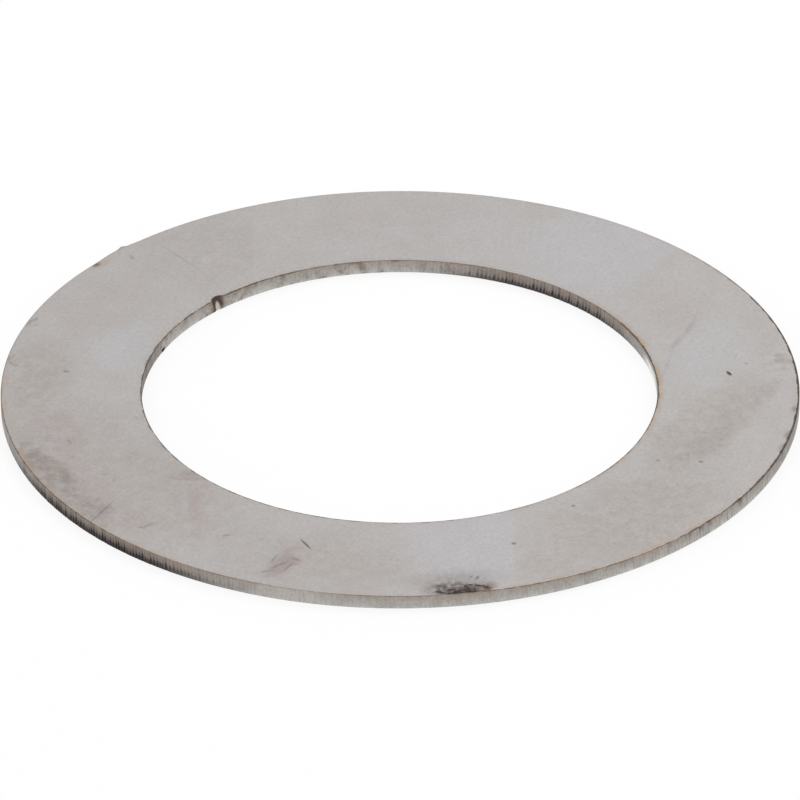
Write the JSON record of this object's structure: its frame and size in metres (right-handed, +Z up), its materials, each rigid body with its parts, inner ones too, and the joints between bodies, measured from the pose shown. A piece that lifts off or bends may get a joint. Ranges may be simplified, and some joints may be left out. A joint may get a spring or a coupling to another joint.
{
  "type": "shim ring",
  "caption": "Thin flat ring cut from stainless sheet, a spacer for a shaft, with a small cut notch in its bore and a small nub on its rim.",
  "frame": {"origin": "centre of the bore at the underside, which lies on the floor", "axes": "+Z up along the bore's axis, out of the upper face; the picture looks along +Y with +X to the right"},
  "size_m": [0.028, 0.028, 0.0005],
  "materials": {
    "stainless_steel": "satin cold-rolled sheet, laser-cut walls with fine upright striations and brown heat tint"
  },
  "bodies": {
    "root": {"shim_ring": "stainless_steel"}
  },
  "joints": []
}
